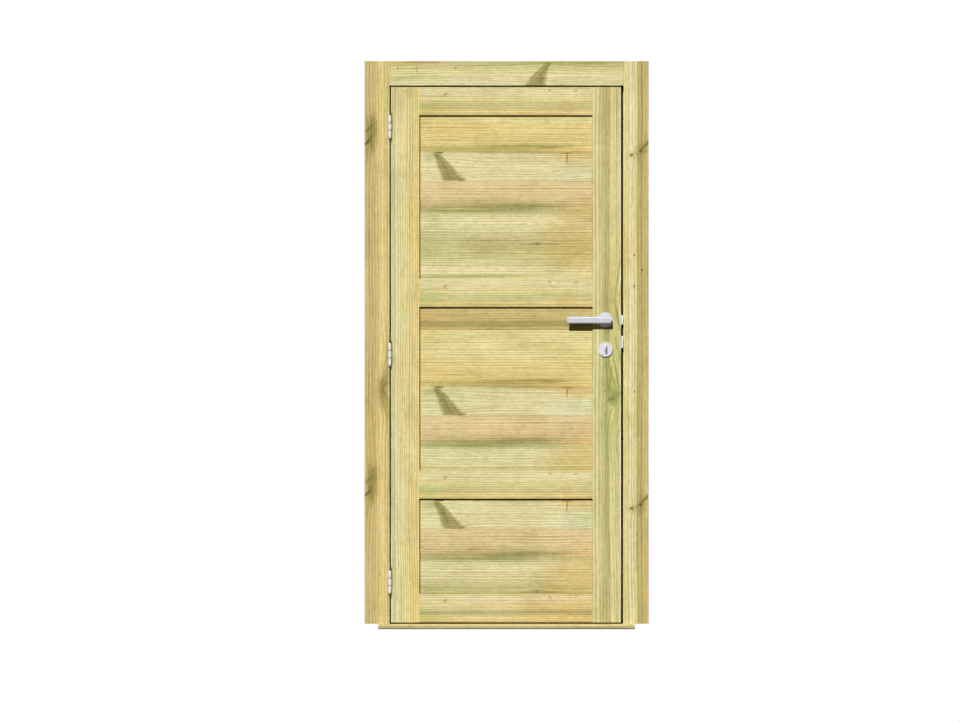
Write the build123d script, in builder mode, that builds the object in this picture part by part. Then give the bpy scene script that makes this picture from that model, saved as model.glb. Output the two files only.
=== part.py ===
"""A solid wood outside door in its frame: four rails and two stiles round three recessed panels.

The leaf hangs on three butt hinges at the left, seen from outside, and opens outwards.
It shuts flush with the face of a rebated frame whose flange overlaps the wall.
A mortice lock with a lever handle on each side closes it at the right.

Millimetres, +Z up, +X to the right and +Y into the building. The origin is on the underside
of the sill, at the middle of its length, in the plane where the frame's flange meets the wall.
"""

import os

from build123d import *

# Frame: overall size, widths of its face, and its section
frame_width = 1000.0
frame_height = 2000.0
jamb_face = 88.0
head_face = 86.0
frame_depth = 90.0
flange_thickness = 22.0
wall_overlap = 48.0
housing_depth = 10.0
housing_setback = 10.0
arris = 1.5

# Sill
sill_thickness = 19.0
sill_nose = 12.0
sill_fall = 2.0
nose_top_radius = 1.5
nose_bottom_radius = 4.0
drip_radius = 2.5

# Stops that the leaf shuts against
stop_thickness = 15.0
stop_depth = 28.0
stop_gap = 5.0

# Leaf and the gaps round it
leaf_thickness = 44.0
hinge_gap = 5.0
lock_gap = 9.0
head_gap = 5.0
foot_gap = 5.0
stile_width = 100.0
rail_height = 100.0
bottom_rail_height = 102.0
bottom_panel_height = 333.0
panel_thickness = 20.0
panel_tongue = 10.0
groove_depth = 12.0
tenon_length = 60.0
tenon_thickness = 14.0
tenon_shoulder = 17.0
joint_clearance = 0.2

# Butt hinges
hinge_height = 80.0
hinge_reach = 40.0
hinge_end_distance = 141.0
plate_thickness = 2.0
plate_corner = 6.0
barrel_radius = 5.75
barrel_stand_off = 0.5
barrel_shift = 2.0
barrel_relief_width = 4.0
barrel_relief_depth = 4.0
pin_radius = 3.0
pin_clearance = 0.08
knuckle_clearance = 0.4
pin_head_radius = 5.0
pin_head_height = 1.2

# Mortice lock
backset = 55.0
lever_height = 1089.0
lever_to_cylinder = 96.0
case_depth = 82.0
case_thickness = 16.0
case_above = 45.0
case_below = 60.0
forend_width = 20.0
forend_thickness = 3.0
forend_overlap = 14.0
lock_clearance = 0.3
bolt_proud = 7.0
channel_end_gap = 1.0
latch_height = 32.0
latch_thickness = 11.0
latch_length = 40.0
latch_bevel = 6.0
latch_travel = 7.0
deadbolt_rise = 18.0
deadbolt_height = 42.0
deadbolt_thickness = 9.0
deadbolt_length = 40.0
deadbolt_withdraw = 7.0
hub_radius = 9.0
hub_length = 14.0
spindle_bore_radius = 12.0

# Cylinder
cylinder_radius = 8.5
cylinder_lug_width = 10.0
cylinder_total_height = 33.0
cylinder_proud = 3.0
cylinder_slot_margin = 1.5
plug_radius = 6.7
plug_recess = 0.5
plug_length = 30.0
plug_clearance = 0.15
keyway_width = 2.2
keyway_height = 9.0
keyway_depth = 12.0

# Key, left in the outer end of the cylinder
key_bow_length = 26.0
key_bow_height = 24.0
key_bow_thickness = 3.2
key_bow_corner = 9.0
key_neck_length = 8.0
key_neck_height = 9.0
key_blade_clearance = 0.1
key_tip_gap = 1.0
key_ring_hole_radius = 2.5
key_ring_hole_edge = 6.0

# Strike plate
strike_width = 24.0
strike_thickness = 2.5
strike_overlap = 22.0
strike_corner = 4.0
strike_hole_margin = 2.5
strike_hole_width = 15.0
pocket_width = 18.0
latch_pocket_depth = 14.0
deadbolt_pocket_depth = 22.0

# Handles and roses
rose_radius = 26.5
rose_thickness = 9.0
rose_chamfer = 1.5
rose_clearance = 0.4
neck_radius = 10.0
neck_stand_off = 0.5
lever_projection = 44.5
lever_bar_thickness = 12.0
lever_bar_height = 25.0
lever_reach = 135.0
lever_overrun = 20.0
lever_front_radius = 5.5
lever_back_radius = 3.0
lever_end_chamfer = 0.8
spindle_side = 8.0
spindle_socket = 18.0
socket_clearance = 0.1

# Places that follow from the sizes above
frame_half = frame_width / 2
face_y = -flange_thickness
back_y = face_y + frame_depth
opening_half = frame_half - jamb_face
opening_top = frame_height - head_face
sill_half = frame_half - wall_overlap
lining_top = opening_top + jamb_face - wall_overlap
stop_y = face_y + leaf_thickness + stop_gap
leaf_left = -opening_half + hinge_gap
leaf_right = opening_half - lock_gap
leaf_bottom = sill_thickness + foot_gap
leaf_top = opening_top - head_gap
leaf_height = leaf_top - leaf_bottom
leaf_middle_y = face_y + leaf_thickness / 2
leaf_back_y = face_y + leaf_thickness
panel_left = leaf_left + stile_width
panel_right = leaf_right - stile_width
upper_panel_height = (
    leaf_height - 3 * rail_height - bottom_rail_height - bottom_panel_height
) / 2

# Each rail is (name, bottom, top), and each panel fills the space between two rails
lower_rail_z = leaf_bottom + bottom_rail_height + bottom_panel_height
upper_rail_z = lower_rail_z + rail_height + upper_panel_height
rails = [
    ("rail_bottom", leaf_bottom, leaf_bottom + bottom_rail_height),
    ("rail_lower", lower_rail_z, lower_rail_z + rail_height),
    ("rail_upper", upper_rail_z, upper_rail_z + rail_height),
    ("rail_top", leaf_top - rail_height, leaf_top),
]
panels = [
    (name, below[2], above[1])
    for name, below, above in zip(["panel_bottom", "panel_middle", "panel_top"], rails, rails[1:])
]

# Each hinge is (where it is, height of its middle)
gap_middle_x = -opening_half + hinge_gap / 2
hinge_x = gap_middle_x - barrel_shift
hinge_y = face_y - barrel_radius - barrel_stand_off
plate_back = hinge_y + hinge_reach
hinges = [
    ("top", leaf_top - hinge_end_distance),
    ("middle", leaf_bottom + leaf_height / 2),
    ("bottom", leaf_bottom + hinge_end_distance),
]

# The lock's places
lock_x = leaf_right - backset
cylinder_z = lever_height - lever_to_cylinder
cylinder_foot = cylinder_z + cylinder_radius - cylinder_total_height
escutcheon_z = cylinder_foot + cylinder_total_height / 2
cylinder_half = leaf_thickness / 2 + rose_thickness + cylinder_proud
cylinder_front = leaf_middle_y - cylinder_half
plug_face = cylinder_front + plug_recess
deadbolt_z = cylinder_z + deadbolt_rise
case_front = leaf_right - forend_thickness
case_back = case_front - case_depth
case_bottom = cylinder_z - case_below
case_top = lever_height + case_above
nose_x = leaf_right + bolt_proud


def block(low, high, mode=Mode.ADD):
    """A square-edged block between two opposite corners, in the part being built."""
    size = [b - a for a, b in zip(low, high)]
    with Locations([tuple((a + b) / 2 for a, b in zip(low, high))]):
        Box(*size, mode=mode)


def bolt_block(x_low, x_high, middle_z, height, thickness, grow=0.0, mode=Mode.ADD):
    """A block along X, centred in the leaf's thickness and at one height."""
    half_y = thickness / 2 + grow
    half_z = height / 2 + grow
    block(
        (x_low, leaf_middle_y - half_y, middle_z - half_z),
        (x_high, leaf_middle_y + half_y, middle_z + half_z),
        mode,
    )


def across(radius, x, z, y_low, y_high, mode=Mode.ADD):
    """A round bar or bore along Y."""
    plane = Plane.XZ.offset(-y_high)
    with BuildSketch(plane) as section:
        with Locations((x, z)):
            Circle(radius)
    extrude(section.sketch, amount=y_high - y_low, mode=mode)


def save(piece, name):
    """Names a finished piece and writes it out."""
    piece.part.label = name
    export_step(piece.part, f"parts/{name}.step")


def long_edges(piece, axis, wanted):
    """The edges of a piece that run along one axis and whose middle passes a test."""
    return [edge for edge in piece.edges().filter_by(axis) if wanted(edge.center())]


def near(a, b):
    """Whether two lengths are the same."""
    return abs(a - b) < 0.01


def plate_recess(edge_x, into):
    """Cuts the recesses of the three hinge plates into an upright, from its edge inwards."""
    for _, middle in hinges:
        front = face_y - arris
        back = plate_back + joint_clearance
        half = hinge_height / 2 + joint_clearance
        with BuildSketch(Plane.YZ.offset(edge_x)) as outline:
            with Locations(((front + back) / 2, middle)):
                Rectangle(back - front, 2 * half)
            fillet(outline.vertices().group_by(Axis.X)[-1], plate_corner)
        extrude(outline.sketch, amount=into * plate_thickness, mode=Mode.SUBTRACT)


def barrel_relief(edge_x):
    """Cuts the stile's front corner back beside each hinge's barrel."""
    half = hinge_height / 2 + joint_clearance
    for _, middle in hinges:
        block(
            (edge_x, face_y, middle - half),
            (edge_x + barrel_relief_width, face_y + barrel_relief_depth, middle + half),
            Mode.SUBTRACT,
        )


def build_jamb(name, side):
    """An upright of the frame. Side is -1 at the hinges and 1 at the lock."""
    inner = side * opening_half
    shoulder = side * sill_half
    outer = side * frame_half
    with BuildPart() as jamb:
        with BuildSketch(Plane.XY.offset(sill_thickness)):
            with BuildLine():
                Polyline(
                    (inner, face_y),
                    (outer, face_y),
                    (outer, 0),
                    (shoulder, 0),
                    (shoulder, back_y),
                    (inner, back_y),
                    close=True,
                )
            make_face()
        extrude(amount=frame_height - sill_thickness)
        front_edges = long_edges(
            jamb, Axis.Z, lambda c: near(c.Y, face_y) and (near(c.X, inner) or near(c.X, outer))
        )
        chamfer(front_edges, arris)
        housing_end = inner + side * housing_depth
        block(
            (min(inner, housing_end), housing_setback, opening_top),
            (max(inner, housing_end), back_y, lining_top),
            Mode.SUBTRACT,
        )
        block(
            (min(inner, shoulder), 0, lining_top),
            (max(inner, shoulder), back_y, frame_height),
            Mode.SUBTRACT,
        )
        if side < 0:
            plate_recess(inner, side)
        else:
            strike_recess()
    save(jamb, name)


def strike_recess():
    """Cuts the strike plate's recess and the bolts' pockets into the jamb."""
    with BuildSketch(Plane.YZ.offset(opening_half)) as outline:
        strike_outline(joint_clearance)
    extrude(outline.sketch, amount=strike_thickness, mode=Mode.SUBTRACT)
    pockets = [
        (lever_height, latch_height, latch_pocket_depth),
        (deadbolt_z, deadbolt_height, deadbolt_pocket_depth),
    ]
    for middle, height, depth in pockets:
        bolt_block(
            opening_half,
            opening_half + strike_thickness + depth,
            middle,
            height + 2 * strike_hole_margin,
            pocket_width,
            mode=Mode.SUBTRACT,
        )


def strike_outline(grow):
    """Draws the strike plate's rounded face, in depth and height."""
    bottom = deadbolt_z - deadbolt_height / 2 - strike_overlap - grow
    top = lever_height + latch_height / 2 + strike_overlap + grow
    with Locations((leaf_middle_y, (bottom + top) / 2)):
        RectangleRounded(strike_width + 2 * grow, top - bottom, strike_corner)


def build_strike_plate():
    """The plate on the lock jamb, with a hole for each bolt."""
    with BuildPart() as strike:
        with BuildSketch(Plane.YZ.offset(opening_half)):
            strike_outline(0)
            for middle, height in ((lever_height, latch_height), (deadbolt_z, deadbolt_height)):
                with Locations((leaf_middle_y, middle)):
                    Rectangle(
                        strike_hole_width, height + 2 * strike_hole_margin, mode=Mode.SUBTRACT
                    )
        extrude(amount=strike_thickness)
    save(strike, "strike_plate")


def build_head():
    """The frame's top member, fitted between the jambs and let into them behind the flange."""
    with BuildPart() as head:
        block((-opening_half, face_y, opening_top), (opening_half, 0, frame_height))
        front_edges = long_edges(head, Axis.X, lambda c: near(c.Y, face_y))
        chamfer(front_edges, arris)
        block((-opening_half, 0, opening_top), (opening_half, back_y, lining_top))
        reach = opening_half + housing_depth
        block((-reach, housing_setback, opening_top), (reach, back_y, lining_top))
    save(head, "head")


def build_sill():
    """The sill, with a falling nose and a drip groove under it."""
    nose_y = face_y - sill_nose
    with BuildPart() as sill:
        with BuildSketch(Plane.YZ.offset(-sill_half)) as section:
            with BuildLine():
                Polyline(
                    (back_y, 0),
                    (back_y, sill_thickness),
                    (face_y, sill_thickness),
                    (nose_y, sill_thickness - sill_fall),
                    (nose_y, 0),
                    close=True,
                )
            make_face()
            nose = section.vertices().group_by(Axis.X)[0].sort_by(Axis.Y)
            fillet(nose[-1], nose_top_radius)
            fillet(section.vertices().group_by(Axis.X)[0].sort_by(Axis.Y)[0], nose_bottom_radius)
            with Locations((face_y, 0)):
                Circle(drip_radius, mode=Mode.SUBTRACT)
        extrude(amount=2 * sill_half)
    save(sill, "sill")


def build_stops():
    """The four laths that the leaf shuts against."""
    inner = opening_half - stop_thickness
    under_head = opening_top - stop_thickness
    over_sill = sill_thickness + stop_thickness
    laths = [
        ("stop_hinge_side", -opening_half, -inner, sill_thickness, opening_top),
        ("stop_lock_side", inner, opening_half, sill_thickness, opening_top),
        ("stop_head", -inner, inner, under_head, opening_top),
        ("stop_sill", -inner, inner, sill_thickness, over_sill),
    ]
    for name, left, right, bottom, top in laths:
        with BuildPart() as lath:
            block((left, stop_y, bottom), (right, stop_y + stop_depth, top))
            if right - left > stop_thickness:
                free_z = under_head if name == "stop_head" else over_sill
                room_edges = long_edges(lath, Axis.X, lambda c: near(c.Z, free_z))
            else:
                room_edges = long_edges(lath, Axis.Z, lambda c: near(abs(c.X), inner))
            chamfer(room_edges, arris)
        save(lath, name)


def groove_panel_edges(edge_x, into):
    """Cuts the panels' grooves into a stile, from its inner edge inwards."""
    half = panel_thickness / 2 + joint_clearance
    for _, low, high in panels:
        ends = sorted((edge_x, edge_x + into * groove_depth))
        block(
            (ends[0], leaf_middle_y - half, low - groove_depth),
            (ends[1], leaf_middle_y + half, high + groove_depth),
            Mode.SUBTRACT,
        )


def chamfer_panel_edges(edge_x, into):
    """Takes the arris off a stile's inner edges, front and back, beside each panel."""
    for _, low, high in panels:
        for y, inwards in ((face_y, 1), (leaf_back_y, -1)):
            with BuildSketch(Plane.XY.offset(low)) as corner:
                with BuildLine():
                    Polyline(
                        (edge_x, y),
                        (edge_x + into * arris, y),
                        (edge_x, y + inwards * arris),
                        close=True,
                    )
                make_face()
            extrude(corner.sketch, amount=high - low, mode=Mode.SUBTRACT)


def mortice_rails(edge_x, into):
    """Cuts the mortices for the four rails' tenons into a stile."""
    for _, low, high in rails:
        end = edge_x + into * (tenon_length + joint_clearance)
        tenon = high - low - 2 * tenon_shoulder
        bolt_block(
            min(edge_x, end),
            max(edge_x, end),
            (low + high) / 2,
            tenon,
            tenon_thickness,
            joint_clearance,
            Mode.SUBTRACT,
        )


def build_stile(name, outer, inner):
    """An upright of the leaf, grooved for the panels and morticed for the rails."""
    into = -1 if outer < inner else 1
    with BuildPart() as stile:
        block(
            (min(outer, inner), face_y, leaf_bottom),
            (max(outer, inner), leaf_back_y, leaf_top),
        )
        chamfer(long_edges(stile, Axis.Z, lambda c: near(c.X, outer)), arris)
        groove_panel_edges(inner, into)
        chamfer_panel_edges(inner, into)
        mortice_rails(inner, into)
        if into < 0:
            plate_recess(outer, 1)
            barrel_relief(outer)
        else:
            lock_mortice()
    save(stile, name)


def lock_mortice():
    """Cuts the lock's pocket, its forend's recess and the holes for spindle and cylinder."""
    middle = (case_bottom + case_top) / 2
    height = case_top - case_bottom
    bolt_block(
        case_back - lock_clearance, leaf_right, middle, height,
        case_thickness, lock_clearance, Mode.SUBTRACT,
    )
    bolt_block(
        case_front, leaf_right, middle, height + 2 * forend_overlap,
        forend_width, joint_clearance, Mode.SUBTRACT,
    )
    across(spindle_bore_radius, lock_x, lever_height, face_y, leaf_back_y, Mode.SUBTRACT)
    slot_half = cylinder_radius + cylinder_slot_margin
    block(
        (lock_x - slot_half, face_y, cylinder_foot - cylinder_slot_margin),
        (lock_x + slot_half, leaf_back_y, cylinder_z + slot_half),
        Mode.SUBTRACT,
    )


def build_rail(name, low, high):
    """A rail of the leaf, with a tenon at each end and a groove for each panel beside it."""
    with BuildPart() as rail:
        block((panel_left, face_y, low), (panel_right, leaf_back_y, high))
        panel_sides = [z for z in (low, high) if leaf_bottom < z < leaf_top]
        edges = long_edges(rail, Axis.X, lambda c: any(near(c.Z, z) for z in (low, high)))
        chamfer(edges, arris)
        half = panel_thickness / 2 + joint_clearance
        for z in panel_sides:
            end = z + (groove_depth if z == low else -groove_depth)
            block(
                (panel_left, leaf_middle_y - half, min(z, end)),
                (panel_right, leaf_middle_y + half, max(z, end)),
                Mode.SUBTRACT,
            )
        bolt_block(
            panel_left - tenon_length,
            panel_right + tenon_length,
            (low + high) / 2,
            high - low - 2 * tenon_shoulder,
            tenon_thickness,
        )
        lock_mortice()
    save(rail, name)


def build_panel(name, low, high):
    """A panel, held by its edges in the grooves of the rails and stiles."""
    half = panel_thickness / 2
    with BuildPart() as panel:
        block(
            (panel_left - panel_tongue, leaf_middle_y - half, low - panel_tongue),
            (panel_right + panel_tongue, leaf_middle_y + half, high + panel_tongue),
        )
    save(panel, name)


def build_hinge_half(name, middle, side, knuckles):
    """A hinge's plate with its own knuckles. Side is -1 on the frame and 1 on the leaf."""
    plate_x = gap_middle_x + side * hinge_gap / 2
    with BuildPart() as half:
        with BuildSketch(Plane.YZ.offset(plate_x)) as outline:
            with Locations(((face_y + plate_back) / 2, middle)):
                Rectangle(plate_back - face_y, hinge_height)
            fillet(outline.vertices().group_by(Axis.X)[-1], plate_corner)
            for low, high in knuckles:
                with Locations(((hinge_y + face_y) / 2, middle + (low + high) / 2)):
                    Rectangle(face_y - hinge_y, high - low)
        extrude(amount=side * plate_thickness)
        for low, high in knuckles:
            with BuildSketch(Plane.XY.offset(middle + low)):
                with Locations((hinge_x, hinge_y)):
                    Circle(barrel_radius)
            extrude(amount=high - low)
        with BuildSketch(Plane.XY.offset(middle - hinge_height / 2)):
            with Locations((hinge_x, hinge_y)):
                Circle(pin_radius + pin_clearance)
        extrude(amount=hinge_height, mode=Mode.SUBTRACT)
    save(half, name)


def build_hinge_pin(name, middle):
    """A hinge's pin, with a flat head against each end of the barrel."""
    end = hinge_height / 2
    lengths = [
        (pin_radius, middle - end, hinge_height),
        (pin_head_radius, middle - end - pin_head_height, pin_head_height),
        (pin_head_radius, middle + end, pin_head_height),
    ]
    with BuildPart() as pin:
        for radius, bottom, height in lengths:
            with BuildSketch(Plane.XY.offset(bottom)):
                with Locations((hinge_x, hinge_y)):
                    Circle(radius)
            extrude(amount=height)
        rims = pin.edges().filter_by(GeomType.CIRCLE).group_by(Axis.Z)
        chamfer(rims[0] + rims[-1], pin_head_height / 2)
    save(pin, name)


def build_hinges():
    """The three butt hinges: two knuckles on the frame's plate and one on the leaf's."""
    end = hinge_height / 2
    joint = hinge_height / 6
    gap = knuckle_clearance / 2
    for place, middle in hinges:
        outer_knuckles = [(-end, -joint - gap), (joint + gap, end)]
        build_hinge_half(f"hinge_{place}_frame_plate", middle, -1, outer_knuckles)
        build_hinge_half(f"hinge_{place}_leaf_plate", middle, 1, [(-joint + gap, joint - gap)])
        build_hinge_pin(f"hinge_{place}_pin", middle)


def build_lock_case():
    """The lock's case, with channels for its bolts, a bore for its hub and a cylinder hole."""
    height = case_top - case_bottom
    channels = [
        (latch_length + latch_travel, lever_height, latch_height, latch_thickness),
        (deadbolt_length + deadbolt_withdraw, deadbolt_z, deadbolt_height, deadbolt_thickness),
    ]
    with BuildPart() as case:
        bolt_block(case_back, case_front, (case_bottom + case_top) / 2, height, case_thickness)
        for reach, middle, bolt_height, bolt_thickness in channels:
            bolt_block(
                nose_x - reach - channel_end_gap, case_front, middle, bolt_height,
                bolt_thickness, lock_clearance, Mode.SUBTRACT,
            )
        half = case_thickness / 2
        across(
            hub_radius + lock_clearance, lock_x, lever_height,
            leaf_middle_y - half, leaf_middle_y + half, Mode.SUBTRACT,
        )
        cylinder_bar(leaf_middle_y - half, leaf_middle_y + half, lock_clearance, Mode.SUBTRACT)
    save(case, "lock_case")


def cylinder_bar(y_low, y_high, grow=0.0, mode=Mode.ADD):
    """A bar or a hole along Y with the outline of a profile cylinder."""
    lug_radius = cylinder_lug_width / 2
    lug_z = cylinder_foot + lug_radius
    with BuildSketch(Plane.XZ.offset(-y_high)) as outline:
        with Locations((lock_x, cylinder_z)):
            Circle(cylinder_radius + grow)
        with Locations((lock_x, lug_z)):
            Circle(lug_radius + grow)
        with Locations((lock_x, (lug_z + cylinder_z) / 2)):
            Rectangle(cylinder_lug_width + 2 * grow, cylinder_z - lug_z)
    extrude(outline.sketch, amount=y_high - y_low, mode=mode)


def keyway(face, direction):
    """Cuts a keyway into an end of the cylinder or of its plug, from one face inwards."""
    end = face + direction * keyway_depth
    block(
        (lock_x - keyway_width / 2, min(face, end), cylinder_z - keyway_height / 2),
        (lock_x + keyway_width / 2, max(face, end), cylinder_z + keyway_height / 2),
        Mode.SUBTRACT,
    )


def build_cylinder():
    """The lock's cylinder, which shows through both escutcheons, bored for its outer plug."""
    back = leaf_middle_y + cylinder_half
    with BuildPart() as cylinder:
        cylinder_bar(cylinder_front, back)
        across(
            plug_radius + plug_clearance, lock_x, cylinder_z,
            cylinder_front, plug_face + plug_length, Mode.SUBTRACT,
        )
        across(plug_radius, lock_x, cylinder_z, back - plug_recess, back, Mode.SUBTRACT)
        keyway(back - plug_recess, -1)
    save(cylinder, "cylinder")


def build_plug():
    """The cylinder's outer plug, which the key turns."""
    with BuildPart() as plug:
        across(plug_radius, lock_x, cylinder_z, plug_face, plug_face + plug_length)
        keyway(plug_face, 1)
    save(plug, "cylinder_plug")


def build_key():
    """The key in the outer plug: an upright bow on a short neck, and a blade in the keyway."""
    neck_end = plug_face - key_neck_length
    bow_end = neck_end - key_bow_length
    bow_middle = (neck_end + bow_end) / 2
    half_blade = keyway_width / 2 - key_blade_clearance
    half_height = keyway_height / 2 - key_blade_clearance
    with BuildPart() as key:
        with BuildSketch(Plane.YZ.offset(lock_x - key_bow_thickness / 2)) as outline:
            with Locations((bow_middle, cylinder_z)):
                RectangleRounded(key_bow_length, key_bow_height, key_bow_corner)
            with Locations(((plug_face + bow_middle) / 2, cylinder_z)):
                Rectangle(plug_face - bow_middle, key_neck_height)
            with Locations((bow_end + key_ring_hole_edge, cylinder_z)):
                Circle(key_ring_hole_radius, mode=Mode.SUBTRACT)
        extrude(outline.sketch, amount=key_bow_thickness)
        block(
            (lock_x - half_blade, neck_end, cylinder_z - half_height),
            (lock_x + half_blade, plug_face + keyway_depth - key_tip_gap, cylinder_z + half_height),
        )
    save(key, "door_key")


def build_forend():
    """The lock's front plate, with a hole for each bolt."""
    middle = (case_bottom + case_top) / 2
    height = case_top - case_bottom + 2 * forend_overlap
    with BuildPart() as forend:
        bolt_block(case_front, leaf_right, middle, height, forend_width)
        bolt_block(
            case_front, leaf_right, lever_height, latch_height,
            latch_thickness, lock_clearance, Mode.SUBTRACT,
        )
        bolt_block(
            case_front, leaf_right, deadbolt_z, deadbolt_height,
            deadbolt_thickness, lock_clearance, Mode.SUBTRACT,
        )
    save(forend, "lock_forend")


def build_bolts():
    """The sprung latch, bevelled on its inner side, and the square deadbolt."""
    with BuildPart() as latch:
        bolt_block(nose_x - latch_length, nose_x, lever_height, latch_height, latch_thickness)
        inner_nose = long_edges(
            latch, Axis.Z, lambda c: near(c.X, nose_x) and c.Y > leaf_middle_y
        )
        chamfer(inner_nose, latch_bevel)
    save(latch, "latch_bolt")
    with BuildPart() as deadbolt:
        bolt_block(
            nose_x - deadbolt_length, nose_x, deadbolt_z, deadbolt_height, deadbolt_thickness
        )
    save(deadbolt, "dead_bolt")


def both_sides(piece, name):
    """Saves a piece made for the leaf's front, and its mirror image at the back."""
    save(piece, f"{name}_front")
    with BuildPart() as back:
        add(mirror(piece.part, about=Plane.XZ.offset(-leaf_middle_y), mode=Mode.PRIVATE))
    save(back, f"{name}_back")


def build_roses():
    """The round rose behind each lever, and the escutcheon round each end of the cylinder."""
    outer_y = face_y - rose_thickness
    for name, z in (("rose", lever_height), ("escutcheon", escutcheon_z)):
        with BuildPart() as rose:
            across(rose_radius, lock_x, z, outer_y, face_y)
            chamfer(rose.faces().sort_by(Axis.Y)[0].edges(), rose_chamfer)
            if name == "rose":
                across(neck_radius + rose_clearance, lock_x, z, outer_y, face_y, Mode.SUBTRACT)
            else:
                cylinder_bar(outer_y, face_y, rose_clearance, Mode.SUBTRACT)
        both_sides(rose, name)


def build_levers():
    """The two lever handles and the square spindle that joins them through the lock's hub."""
    root_y = face_y - neck_stand_off
    bar_front = face_y - lever_projection - lever_bar_thickness / 2
    bar_back = bar_front + lever_bar_thickness
    socket_end = root_y - spindle_socket
    with BuildPart() as lever:
        with BuildSketch(Plane.YZ.offset(lock_x - lever_reach)) as section:
            with Locations((bar_front + lever_bar_thickness / 2, lever_height)):
                Rectangle(lever_bar_thickness, lever_bar_height)
            fillet(section.vertices().group_by(Axis.X)[0], lever_front_radius)
            fillet(section.vertices().group_by(Axis.X)[-1], lever_back_radius)
        extrude(amount=lever_reach + lever_overrun)
        ends = lever.faces().sort_by(Axis.X)
        chamfer(ends[0].edges() + ends[-1].edges(), lever_end_chamfer)
        across(neck_radius, lock_x, lever_height, bar_back, root_y)
        side = spindle_side / 2 + socket_clearance
        block(
            (lock_x - side, socket_end - socket_clearance, lever_height - side),
            (lock_x + side, root_y, lever_height + side),
            Mode.SUBTRACT,
        )
    both_sides(lever, "lever")
    with BuildPart() as spindle:
        half = spindle_side / 2
        block(
            (lock_x - half, socket_end, lever_height - half),
            (lock_x + half, 2 * leaf_middle_y - socket_end, lever_height + half),
        )
        hub = hub_length / 2
        across(hub_radius, lock_x, lever_height, leaf_middle_y - hub, leaf_middle_y + hub)
    save(spindle, "spindle")


os.makedirs("parts", exist_ok=True)

build_jamb("jamb_hinge_side", -1)
build_jamb("jamb_lock_side", 1)
build_head()
build_sill()
build_stops()
build_strike_plate()
build_stile("stile_hinge_side", leaf_left, panel_left)
build_stile("stile_lock_side", leaf_right, panel_right)
for rail_name, rail_low, rail_high in rails:
    build_rail(rail_name, rail_low, rail_high)
for panel_name, panel_low, panel_high in panels:
    build_panel(panel_name, panel_low, panel_high)
build_hinges()
build_lock_case()
build_forend()
build_cylinder()
build_plug()
build_key()
build_bolts()
build_roses()
build_levers()
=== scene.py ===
"""Looks for a solid wood door in its frame: treated pine, bright hinges, a chrome lever set.

Metres, +Z up, +X to the right and +Y into the building. Every surface gets a procedural
material whose pattern is laid out in the door's own coordinates, so it moves with its piece.
"""

import math

import bmesh
import bpy
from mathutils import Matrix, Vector


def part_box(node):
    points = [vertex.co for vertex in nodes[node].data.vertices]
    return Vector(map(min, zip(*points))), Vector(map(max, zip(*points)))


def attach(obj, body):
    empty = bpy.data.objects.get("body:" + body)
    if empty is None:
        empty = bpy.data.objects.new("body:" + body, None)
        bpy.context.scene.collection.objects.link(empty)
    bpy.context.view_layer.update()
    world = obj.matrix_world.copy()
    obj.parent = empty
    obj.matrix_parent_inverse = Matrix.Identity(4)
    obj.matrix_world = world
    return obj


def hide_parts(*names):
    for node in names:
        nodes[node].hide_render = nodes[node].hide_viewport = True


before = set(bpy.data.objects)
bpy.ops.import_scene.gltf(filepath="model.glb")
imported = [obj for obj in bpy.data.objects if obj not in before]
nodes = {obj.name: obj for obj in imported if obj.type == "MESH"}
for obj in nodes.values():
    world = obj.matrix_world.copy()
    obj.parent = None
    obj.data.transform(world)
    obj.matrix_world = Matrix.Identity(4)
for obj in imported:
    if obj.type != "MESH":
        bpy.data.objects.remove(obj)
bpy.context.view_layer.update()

MM = 0.001


# Colours


def screen(red, green, blue):
    """A linear colour from the 0 to 255 values that it shows on a screen."""
    linear = []
    for value in (red, green, blue):
        value /= 255
        linear.append(value / 12.92 if value <= 0.04045 else ((value + 0.055) / 1.055) ** 2.4)
    return (*linear, 1.0)


# Fresh tints of the planed pine
CREAM = screen(235, 226, 174)
STRAW = screen(235, 223, 158)
YELLOW = screen(238, 218, 148)
ORANGE = screen(231, 205, 140)
ROSY = screen(235, 213, 160)
MOSSY = screen(226, 219, 164)
KHAKI = screen(216, 205, 146)
SAGE = screen(217, 213, 153)
TAN = screen(213, 191, 128)

# What a mark multiplies the wood's colour by
LATEWOOD = (0.62, 0.55, 0.39, 1.0)
KNOT = (0.46, 0.44, 0.30, 1.0)
KNOT_EDGE = (0.34, 0.30, 0.17, 1.0)
KNOT_CORE = (0.16, 0.13, 0.08, 1.0)
GREEN_KNOT = (0.26, 0.24, 0.05, 1.0)
GREEN_STREAK = (0.62, 0.68, 0.50, 1.0)
OLIVE = (0.72, 0.72, 0.48, 1.0)
DARK_STREAK = (0.44, 0.49, 0.28, 1.0)
BROWN_STREAK = (0.66, 0.60, 0.42, 1.0)
# Painted shade: the stile's shadow along each panel's left edge, and the sill's lower edge
PAINTED_EDGE_SHADE = (0.40, 0.32, 0.20, 1.0)
# Painted shadow of each hinge barrel on the stile beside it
PAINTED_HINGE_SHADOW = (0.06, 0.06, 0.03, 1.0)
# Painted shadow of each rail along the top of the panel below it
PAINTED_RAIL_SHADOW = (0.22, 0.15, 0.06, 1.0)
FOOT_SHADE = (0.88, 0.87, 0.83, 1.0)
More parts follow.
